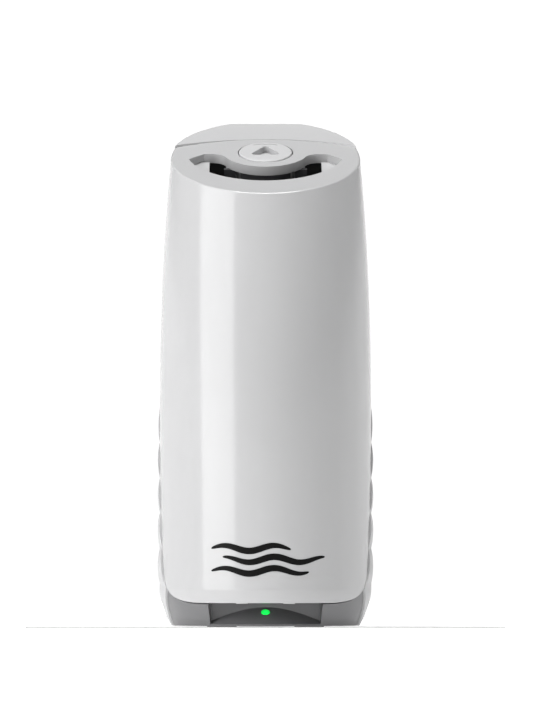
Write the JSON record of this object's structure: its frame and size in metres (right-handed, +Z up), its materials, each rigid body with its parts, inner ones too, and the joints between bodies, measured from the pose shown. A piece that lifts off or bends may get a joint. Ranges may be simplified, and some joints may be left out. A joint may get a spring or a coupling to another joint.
{
  "type": "oxygen-cell air freshener dispenser",
  "caption": "Tapered column air freshener dispenser with flat back, hinged front cover, sloping top with vent and round release button, side louvres, and grey plinth with indicator light.",
  "frame": {"origin": "on the surface it stands on, midway between the flat back and the foremost point of the cover, on the plane of symmetry of the outer form", "axes": "+X to the right seen from the front, +Y to the wall behind, +Z up"},
  "size_m": [0.0752, 0.079, 0.1778],
  "materials": {
    "cover": "glossy light grey",
    "housing": "satin light grey",
    "button": "satin light grey",
    "plinth": "satin mid grey",
    "plate": "matt mid grey",
    "carrier": "matt black",
    "bracket": "matt dark grey",
    "door": "matt dark grey",
    "rubber": "matt",
    "lens": "clear green, lit",
    "led": "green lens",
    "steel": "bright",
    "spring": "nickel plated",
    "brass": "bright",
    "board": "green solder mask",
    "chip": "matt black",
    "capacitor": "dark blue sleeve",
    "connector": "natural nylon",
    "cell": "dark sleeve, bright ends",
    "cartridge": "matt black",
    "bottle": "frosted, translucent",
    "piston": "white",
    "seal": "matt",
    "pad": "felted fibre",
    "nozzle": "natural",
    "lead_red": "sleeve",
    "lead_black": "sleeve",
    "lead_blue": "sleeve",
    "lead_white": "sleeve",
    "lead_grey": "sleeve"
  },
  "bodies": {
    "base": {"rear_housing": "housing", "plinth": "plinth", "bottom_plate": "plate", "rubber_feet": "rubber", "light_pipe": "lens", "status_led": "led", "hinge_pin": "steel", "carrier": "carrier", "retaining_clips": "bracket", "battery_door": "door", "cell_left": "cell", "cell_right": "cell", "battery_springs": "spring", "battery_contacts": "spring", "contact_bridge": "spring", "cartridge_base": "cartridge", "oxygen_cell": "steel", "cartridge_bottle": "bottle", "cell_contacts": "brass", "metering_nozzle": "nozzle", "emanator_pad": "pad", "cartridge_cap": "cartridge", "control_board": "board", "microcontroller": "chip", "capacitors": "capacitor", "connectors": "connector", "switch_board": "board", "switch_housings": "chip", "lead_red": "lead_red", "lead_black": "lead_black", "cell_lead_blue": "lead_blue", "cell_lead_white": "lead_white", "switch_lead": "lead_grey", "carrier_screws": "steel", "deck_screws": "steel", "bottom_screws": "steel", "board_screws": "steel", "switch_screws": "steel"},
    "cover": {"front_cover": "cover", "latch_bracket": "bracket", "latch_pin": "steel", "button_spring": "spring", "bracket_screws": "steel"},
    "button": {"release_button": "button"},
    "rocker": {"latch_rocker": "bracket"},
    "slider": {"duration_slider": "connector"},
    "test": {"test_button": "connector"},
    "piston_body": {"piston": "piston", "piston_seal": "seal"}
  },
  "joints": [
    {"name": "cover_hinge", "type": "hinge", "parent": "base", "child": "cover", "pos_m": [0, -0.033, 0.011], "axis": [1, 0, 0], "range_deg": [0, 80]},
    {"name": "button_press", "type": "slide", "parent": "cover", "child": "button", "axis": [0, 0.3955, -0.9184], "range_m": [0, 0.002], "stiffness_N_per_m": 900, "springref_m": -0.0015, "deforming": ["button_spring"]},
    {"name": "latch_rock", "type": "hinge", "parent": "cover", "child": "rocker", "pos_m": [0, 0.01526, 0.15619], "axis": [1, 0, 0], "range_deg": [0, 26]},
    {"name": "duration_slide", "type": "slide", "parent": "base", "child": "slider", "axis": [0, 0, 1], "range_m": [-0.0025, 0.0025]},
    {"name": "test_press", "type": "slide", "parent": "base", "child": "test", "axis": [0, 1, 0], "range_m": [0, 0.0008], "stiffness_N_per_m": 600, "springref_m": -0.001},
    {"name": "piston_lift", "type": "slide", "parent": "base", "child": "piston_body", "axis": [0, 0, 1], "range_m": [0, 0.037]}
  ],
  "couplings": [
    {"joint": "latch_rock", "follows": "button_press", "rad_per_m": 222}
  ]
}
